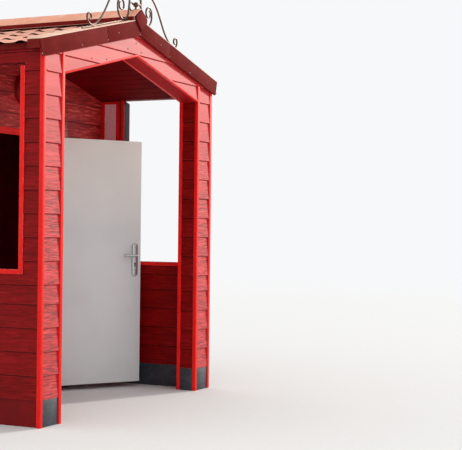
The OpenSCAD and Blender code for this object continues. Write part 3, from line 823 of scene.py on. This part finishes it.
def pressed_row(name, mats):
    """One row of pressed tiles, flat: X runs down the slope from 0 and Y across it."""
    row = started(name, bpy.ops.mesh.primitive_grid_add, x_subdivisions=5,
                  y_subdivisions=tile_steps, size=1)
    for vertex in row.data.vertices:
        drop = min((vertex.co.x + 0.5) * 1.25, 1)
        fold = row_fold if vertex.co.x > 0.49 else 0
        step = round((vertex.co.y + 0.5) * tile_steps)
        roll = roll_widths[0] + (roll_widths[1] - roll_widths[0]) * drop
        level = pan_levels[0] + (pan_levels[1] - pan_levels[0]) * drop
        if step <= roll_steps:
            share = step / roll_steps
            place = roll * (share - 0.5)
            rise = roll_rise * sin(pi * share) ** 1.3
            fold = min(fold, row_fold * abs(share * 2 - 1) ** 3)
        else:
            share = (step - roll_steps) / (tile_steps - roll_steps)
            place = roll / 2 + (tile_pitch - roll) * share
            rise = -pan_dip * sin(pi * share)
        vertex.co = (drop * (row_length + row_lap) - row_lap, place, level + rise - fold)
    coat(row, mats)
    # Faces at each row's lower edge take the third finish, a dark red-brown that is painted shade on the
    # folds.
    for face in row.data.polygons:
        face.material_index = 2 if face.center.x > row_length - a_hair else 0
    return row


# The tiles' peach is partly their terracotta coat and partly a painted reflection of the sky on the pans.
tile_coat = [coated_sheet("terracotta tile coat", (0.82, 0.34, 0.22), (0.95, 0.50, 0.36), 0.6),
             coated_sheet("dark back of the tile sheet", (0.03, 0.008, 0.006), (0.06, 0.015, 0.012), 0.7),
             coated_sheet("shade_darkened row folds", (0.10, 0.014, 0.010), (0.20, 0.034, 0.022), 0.7)]
return_thick = 0.016
return_deep = 0.092
return_low = 2.470
return_high = 2.600
soffit_clear = 0.018
soffit_thick = 0.012
notch_over = 0.01
notch_heights = (2.4, 2.7)
ridge_gap = 0.002
verge_plates = []
for side, sign in sides:
    row = pressed_row("tile_row", tile_coat)
    columns = ceil((roof_ends[1] - roof_ends[0]) / tile_pitch) + 2
    for count, step, merged in ((columns, (0, tile_pitch, 0), True),
                                (tile_rows, (row_length, 0, 0), False)):
        apply_modifier(row, "ARRAY", count=count, use_relative_offset=False, use_constant_offset=True,
                       constant_offset_displace=step, use_merge_vertices=merged, merge_threshold=1e-4)
    tiles = joined([row], "roof_tiles_" + side)
    tiles.location = (0, front + tile_start - tile_pitch, 0)
    tiles.scale = (sign, 1, 1)
    apply_place()
    for y, way in zip(roof_ends, (-1, 1)):
        cut_away(tiles, (0, y, 0), (0, way, 0), fill=False)
    if sign < 0:
        tiles.data.flip_normals()
    apply_modifier(tiles, "SOLIDIFY", thickness=sheet_metal, offset=-1, material_offset=1,
                   material_offset_rim=1)
    slope_up(tiles, sign, sheet_apex)
    cut_away(tiles, (sign * ridge_gap, 0, 0), (-sign, 0, 0))
    cut_away(tiles, (sign * sheet_high[0], 0, 0), (sign, 0, 0))
    eaves_in = sheet_high[0] - return_thick
    for y, way in zip(roof_ends, (1, -1)):
        far = y + way * return_deep
        notch = add_block("notch", (sign * eaves_in, y - way * notch_over, notch_heights[0]),
                          (sign * (sheet_high[0] + notch_over), far, notch_heights[1]), [])
        apply_modifier(tiles, "BOOLEAN", operation="DIFFERENCE", object=notch, solver="EXACT")
        bpy.data.objects.remove(notch)
        for part, inner, outer, top in (
                ("return", eaves_in, sheet_high[0], return_high),
                ("soffit", hut_half + soffit_clear, eaves_in, return_low + soffit_thick)):
            plate = add_block(part, (sign * inner, y, return_low), (sign * outer, far, top), [])
            verge_plates.append((plate, sign))
    take(tiles)
    bpy.ops.object.shade_smooth_by_angle(angle=radians(42))
    finish_piece(tiles, ["roof_sheet_" + side])


# Barge boards and verge returns: planed boards in a dull brown red, two lengths butted on each
# slope and screwed to the gables, with a boxed return behind each outer end.
barge_drop = 0.118
barge_seam = 0.490
seam_gap = 0.0045
barge_overrun = 0.06
barge_ease = 0.0025
return_ease = 0.0015
fascia_ease = 0.002
ridge_end_ease = 0.0035
screw_r = 0.0046
barge_low, barge_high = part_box("barge_front")
barge_face = barge_low[1]


def screw_metal():
    mat, tree, shader = blank_material("dull screws")
    tint = tinted(tree, noise(tree, 300, 3), (0.14, 0.09, 0.08), (0.28, 0.21, 0.19))
    feed(tree, shader, {"Base Color": tint, "Metallic": 0.6, "Roughness": 0.5})
    return mat


barge_brown = [gloss_paint("brown red barge", (0.150, 0.010, 0.009), (0.200, 0.016, 0.014), 0.75, 0.04),
               worn_paint("rubbed barge edges", (0.17, 0.014, 0.012), (0.24, 0.035, 0.030), 0.04)]
for end, y, outward in (("front", front, -1), ("back", back, 1)):
    face = y + outward * (barge_high[1] - barge_low[1])
    planks = []
    for side, sign in sides:
        for inner, outer in ((-barge_overrun, barge_seam - seam_gap), (barge_seam, slope_length)):
            plank = add_block("barge", (sign * inner, y, -barge_drop * cos(pitch)),
                              (sign * outer, face, 0), barge_brown)
            slope_up(plank, sign, roof_apex)
            cut_away(plank, (0, 0, 0), (-sign, 0, 0))
            ease(plank, barge_ease)
            planks.append(plank)
    finish_piece(joined(planks, "barge_boards_" + end), ["barge_" + end])

for plate, sign in verge_plates:
    coat(plate, barge_brown)
    cut_away(plate, (0, 0, roof_apex - 0.0005), (sign * roof_slope, 0, 1))
    ease(plate, return_ease)
finish_piece(joined([plate for plate, sign in verge_plates], "verge_returns"))
eased_node("eaves_fascias", "eaves_fascias_planed", fascia_ease, barge_brown)
# The end plates' rounded edges are near black: a painted shadow line round each plate.
eased_node("ridge_ends", "ridge_ends_planed", ridge_end_ease, [barge_brown[0], shadow_gap_dark])

screw = turned("screw", [(0, -0.004), (screw_r, -0.004), (screw_r, 0.0005), (screw_r * 0.7, 0.0011),
                         (screw_r * 0.34, 0.0012), (0, 0.0002)], 12, [screw_metal()])
peak_screw = (0.003, 2.735)
barge_screws = [(1.262, 2.432), (0.788, 2.550), (0.455, 2.634), (0.310, 2.704)]
return_screw = (sheet_high[0] - 0.0015, back - 0.012, 2.482)
screw_spots = []
for way in (-1, 1):
    lie = (-way * pi / 2, 0, 0)
    screw_spots.append(((way * peak_screw[0], -way * barge_face, peak_screw[1]), lie))
    for sign in (-1, 1):
        screw_spots += [((sign * x, -way * barge_face, z), lie) for x, z in barge_screws]
        x, y, z = return_screw
        screw_spots.append(((sign * x, way * y, z), (0, sign * pi / 2, 0)))
finish_piece(set_out(screw, screw_spots, "barge_screws"))


# Flashings and ridge cap: folded strips of the same coated sheet over both verges and along the ridge, in
# a pale peach, paler in patches and along the edges, that is a painted reflection on the brown coat; the
# cap's turned-down lips keep their brown coat.
flashing_coat = [coated_sheet("painted_glare flashing coat", (0.90, 0.50, 0.34), (0.96, 0.62, 0.45), 0.5,
                              (0.96, 0.74, 0.59)),
                 worn_paint("bright flashing edges", (0.92, 0.62, 0.48), (0.95, 0.80, 0.70))]
flashing_ease = 0.0015
cap_ease = 0.0012
lip_deeper = 0.012
eased_node("verge_flashings", "verge_strips", flashing_ease, flashing_coat)
cap_coat = [coated_sheet("painted_glare ridge coat", (0.88, 0.36, 0.22), (0.96, 0.44, 0.29), 0.5,
                         (0.96, 0.54, 0.40)), flashing_coat[1], barge_brown[0]]
cap = eased_node("ridge_cap", "ridge_capping", cap_ease, cap_coat)
lip_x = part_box("ridge_cap")[1][0]
lip_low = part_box("ridge_cap")[0][2]
pick(cap, lambda co: abs(co.x) > lip_x - 0.006 and co.z < lip_low + 0.004)
bpy.ops.transform.translate(value=(0, 0, -lip_deeper))
object_mode()
for face in cap.data.polygons:
    if abs(face.normal.x) > 0.95 and abs(face.center.x) > lip_x - 0.008:
        face.material_index = 2


# Cresting: wrought bar bent cold into two tall scrolls, joined by an arc over two small curls
# and welded to base bars, which are bolted through the front flashings; a ball on a collar
# stands on the ridge between them. All of it is in a worn bronze paint.
bar_thick = 0.010
bar_deep = 0.012
bar_round = 0.0022
crest_y = front + 0.032
bend_turn = 9
ridge_ball = 0.020
base_ends = (0.103, 0.722)
base_line = 2.85622
scroll_start = (0.212, 2.94830)
scroll_bends = [(18, -90), (34, -180), (43, -180), (0, 25), (76, -170), (0, 78), (92, -128),
                (420, -27), (0, 95.97), (420, 24), (110, 31), (52, 90), (27, 180), (18.9, 120)]
arc_start = (-0.086, 2.98335)
arc_turn = 72.854
arc_radius = 90
curl_centre = (0.05459, 2.94154)
curl_radius = 30
curl_start = 150
curl_turn = 280
bolt_places = (0.288, 0.660)


def bronze_paint():
    mat, tree, shader = blank_material("worn bronze iron")
    patches = noise(tree, 26, 5)
    colour = tinted(tree, patches, (0.030, 0.014, 0.010), (0.150, 0.085, 0.050))
    pits = noise(tree, 170, 4)
    surfaced(tree, shader, colour, (pits, 0.0006, 0.6), (patches, 0.24, 0.44), metal=0.6)
    return mat


def wrought_bar(name, start, heading, bends, mats):
    """A bar bent in the plane of the front; bends are (radius in mm, turn in degrees)."""
    bar = started(name, bpy.ops.mesh.primitive_plane_add, size=1,
                  location=(start[0], crest_y, start[1]), rotation=(0, pi / 2 - radians(heading), 0))
    bar.scale = (bar_thick, bar_deep, 1)
    apply_place()
    edit(bar)
    bpy.ops.mesh.select_mode(type="VERT")
    bpy.ops.mesh.bevel(offset=bar_round, segments=2, affect="VERTICES")
    bpy.ops.mesh.delete(type="ONLY_FACE")
    bpy.ops.mesh.select_all(action="SELECT")
    x, z = start
    turn = radians(heading)
    for radius, amount in bends:
        if radius == 0:
            step = (amount / 1000 * cos(turn), 0, amount / 1000 * sin(turn))
            bpy.ops.mesh.extrude_region_move(TRANSFORM_OT_translate={"value": step})
            x += step[0]
            z += step[2]
            continue
        way = 1 if amount > 0 else -1
        reach = radius / 1000 * way
        centre = (x - reach * sin(turn), z + reach * cos(turn))
        steps = max(2, ceil(abs(amount) * (max(radius, 76) / 76) ** 0.5 / bend_turn))
        bpy.ops.mesh.spin(steps=steps, angle=radians(abs(amount)), axis=(0, way, 0),
                          center=(centre[0], crest_y, centre[1]))
        turn += radians(amount)
        x = centre[0] + reach * sin(turn)
        z = centre[1] - reach * cos(turn)
    bpy.ops.mesh.select_all(action="SELECT")
    bpy.ops.mesh.remove_doubles(threshold=1e-5)
    bpy.ops.mesh.select_all(action="DESELECT")
    bpy.ops.mesh.select_non_manifold()
    bpy.ops.mesh.fill_holes(sides=0)
    bpy.ops.mesh.select_all(action="SELECT")
    bpy.ops.mesh.normals_make_consistent(inside=False)
    object_mode()
    coat(bar, mats)
    return bar


def mirrored(piece):
    """A copy of a piece on the other side of the ridge line, right side out."""
    other = twin(piece)
    take(other)
    other.scale = (-1, 1, 1)
    apply_place()
    edit(other)
    bpy.ops.mesh.normals_make_consistent(inside=False)
    object_mode()
    return other


bronze = [bronze_paint()]
curl_place = (curl_centre[0] + curl_radius / 1000 * cos(radians(curl_start)),
              curl_centre[1] + curl_radius / 1000 * sin(radians(curl_start)))
base_middle = base_line + bar_thick / 2 / cos(pitch)
iron = [wrought_bar("scroll", scroll_start, 0, scroll_bends, bronze),
        wrought_bar("curl", curl_place, curl_start - 90, [(curl_radius, -curl_turn)], bronze),
        wrought_bar("base_bar", (base_ends[0], base_middle - base_ends[0] * roof_slope), -14,
                    [(0, (base_ends[1] - base_ends[0] - 0.002) / cos(pitch) * 1000)], bronze)]
bolt = turned("bolt", [(0, -0.001), (0.0065, -0.001), (0.0065, 0.003), (0.0045, 0.0052), (0, 0.0058)],
              6, bronze)
bolt_spots = [((x, crest_y, base_line + bar_thick / cos(pitch) - x * roof_slope), (0, pitch, 0))
              for x in bolt_places]
iron.append(set_out(bolt, bolt_spots, "bolts"))
iron += [mirrored(piece) for piece in iron]
iron.append(wrought_bar("arc", arc_start, arc_turn, [(arc_radius, -2 * arc_turn)], bronze))
crest_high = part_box("ridge_cap")[1][2]
profile = [(0.0, crest_high - 0.001), (0.009, crest_high - 0.006), (0.0085, crest_high + 0.006),
           (0.0065, crest_high + 0.0105)]
ball_middle = crest_high + 0.012 + ridge_ball - 0.0015
for part in range(-5, 7):
    tilt = radians(part * 15)
    profile.append((ridge_ball * cos(tilt), ball_middle + ridge_ball * sin(tilt)))
profile[-1] = (0.0, ball_middle + ridge_ball)
finial = turned("finial", profile, 20, bronze)
finial.location = (0, front + 0.026, 0)
apply_place()
cresting = joined([*iron, finial], "wrought_cresting")
bpy.ops.object.shade_smooth_by_angle(angle=radians(40))
finish_piece(cresting, ["crest"])


# Door: a flush leaf in smooth off-white paint that stands folded back on three butt hinges,
# paler along its edges, partly as rubbed and greyed wear and partly as a painted highlight, and lighter
# and warmer towards the top as painted light.
lit_top_heights = (1.30, 2.05)
leaf_ease = 0.002


def leaf_paint():
    mat, tree, shader = blank_material("off-white door")
    # Lighter and warmer towards the top: painted light.
    colour = tinted(tree, height_share(tree, *lit_top_heights), (0.68, 0.69, 0.69), (0.95, 0.90, 0.83), 0, 1)
    streaks = noise(tree, 2.2, 6)
    dirt = tinted(tree, streaks, (0.95, 0.945, 0.94), as_is, 0.34, 0.56)
    colour = blended(tree, "MULTIPLY", 1.0, colour, dirt)
    brush = noise(tree, 8, 5, stretch=(40, 40, 3))
    surfaced(tree, shader, colour, (brush, 0.0003, 0.5), (streaks, 0.40, 0.56))
    return mat


# The pale edges are partly rubbed wear and partly a painted highlight.
white = [leaf_paint(), worn_paint("pale door edges", (0.90, 0.88, 0.84), (0.72, 0.69, 0.65))]
eased_node("door_leaf", "door_leaf_planed", leaf_ease, white, "door")


# Door fittings: long back plates with round ends, straight round levers and butt hinges in satin
# steel, with a lock cylinder and crosshead screws, tarnished dark, on both faces.
hinge_place = Vector((0.3835, -0.5375, 0))
open_angle = radians(148)
spindle_x = -0.325
spindle_z = 1.083
leaf_faces = ((-0.530, -1), (-0.486, 1))
plate_thick = 0.008
plate_ease = 0.0024
lever_ease = 0.0014
cylinder_z = spindle_z - 0.067
plate_screws = (0.0715, -0.120, -0.150)


def satin_steel(name, dark=(0.40, 0.40, 0.41), light=(0.58, 0.58, 0.58)):
    mat, tree, shader = blank_material(name)
    brush = noise(tree, 20, 4, stretch=(40, 40, 2))
    surfaced(tree, shader, tinted(tree, brush, dark, light), (brush, 0.0002, 0.4), (brush, 0.24, 0.4),
             metal=1.0)
    return mat


steel = [satin_steel("satin steel")]
dark_steel = [satin_steel("tarnished steel", (0.05, 0.045, 0.04), (0.12, 0.11, 0.10))]
dress(["leaf_hinges", "frame_hinges"], steel[0])
eased_node("handle_plates", "handle_back_plates", plate_ease, steel + dark_steel, "door")
eased_node("levers", "lever_bars", lever_ease, steel, "door")
furniture = []
for y, outward in leaf_faces:
    face_y = y + outward * plate_thick
    lie = (pi / 2 if outward < 0 else -pi / 2, 0, 0)
    barrel = turned("cylinder", [(0, -0.002), (0.0085, -0.002), (0.0085, 0.0016), (0.0076, 0.0024),
                                 (0.0030, 0.0024), (0.0026, 0.0006), (0, 0.0006)], 24, dark_steel)
    furniture.append(set_out(barrel, [((spindle_x, face_y, cylinder_z), lie)], "cylinder"))
    lobe = add_block("lobe", (spindle_x - 0.005, face_y - outward * 0.002, cylinder_z - 0.0245),
                     (spindle_x + 0.005, face_y + outward * 0.002, cylinder_z - 0.006), dark_steel)
    ease(lobe, 0.0018, 3)
    furniture.append(lobe)
    plate_screw = turned("plate_screw", [(0, -0.001), (0.0042, -0.001), (0.0040, 0.0004),
                                         (0.0026, 0.0012), (0.0012, 0.0012), (0, 0.0004)], 14, dark_steel)
    spots = [((spindle_x, face_y, spindle_z + rise), lie) for rise in plate_screws]
    furniture.append(set_out(plate_screw, spots, "plate_screws"))
fittings = joined(furniture, "lock_cylinder_and_screws")
fittings.matrix_world = (Matrix.Translation(hinge_place) @ Matrix.Rotation(open_angle, 4, "Z")
                         @ Matrix.Translation(-hinge_place))
apply_place()
finish_piece(fittings, body="door")


# Lamp: a round bulkhead lamp over the door, with a moulded base, a thin brown ring and an opal
# dome, screwed to the wall.
lamp_low, lamp_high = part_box("lamp_base")
lens_low, lens_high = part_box("lamp_lens")
lamp_middle = (0, lamp_high[1], (lamp_low[2] + lamp_high[2]) / 2)
base_r = (lamp_high[0] - lamp_low[0]) / 2
base_deep = lamp_high[1] - lamp_low[1]
lens_r = (lens_high[0] - lens_low[0]) / 2
lens_deep = lens_high[1] - lens_low[1]
lamp_base_paint = [gloss_paint("lamp base enamel", (0.20, 0.008, 0.008), (0.30, 0.014, 0.014), 0.4, 0.3)]
ring_paint = [gloss_paint("lamp ring enamel", (0.10, 0.03, 0.02), (0.16, 0.05, 0.035), 0.35, 0.4)]
opal = [gloss_paint("opal lens", (0.72, 0.71, 0.67), (0.80, 0.79, 0.75), 0.25, 0.5)]
base = turned("lamp_back_plate", [(0, 0), (base_r, 0), (base_r, base_deep - 0.012),
                                  (base_r - 0.004, base_deep - 0.003), (base_r - 0.011, base_deep),
                                  (0, base_deep)], 64, lamp_base_paint)
ring_outline = [(-0.004, -0.002), (0.006, -0.002), (0.006, 0.004), (0.003, 0.008), (-0.004, 0.008),
                (-0.004, -0.002)]
ring = turned("lamp_ring", [(lens_r + out, base_deep + up) for out, up in ring_outline], 64, ring_paint)
dome_profile = [(0, base_deep), (lens_r - 0.001, base_deep)]
for part in range(1, 13):
    tilt = radians(part * 7.5)
    dome_profile.append(((lens_r - 0.001) * cos(tilt), base_deep + lens_deep * sin(tilt)))
dome_profile[-1] = (0, base_deep + lens_deep)
dome = turned("lamp_dome", dome_profile, 64, opal)
for piece in (base, ring, dome):
    piece.location = lamp_middle
    piece.rotation_euler = (pi / 2, 0, 0)
    take(piece)
    apply_place()
finish_piece(joined([base, ring], "lamp_back"), ["lamp_base"])
finish_piece(dome, ["lamp_lens"])

bpy.context.view_layer.update()
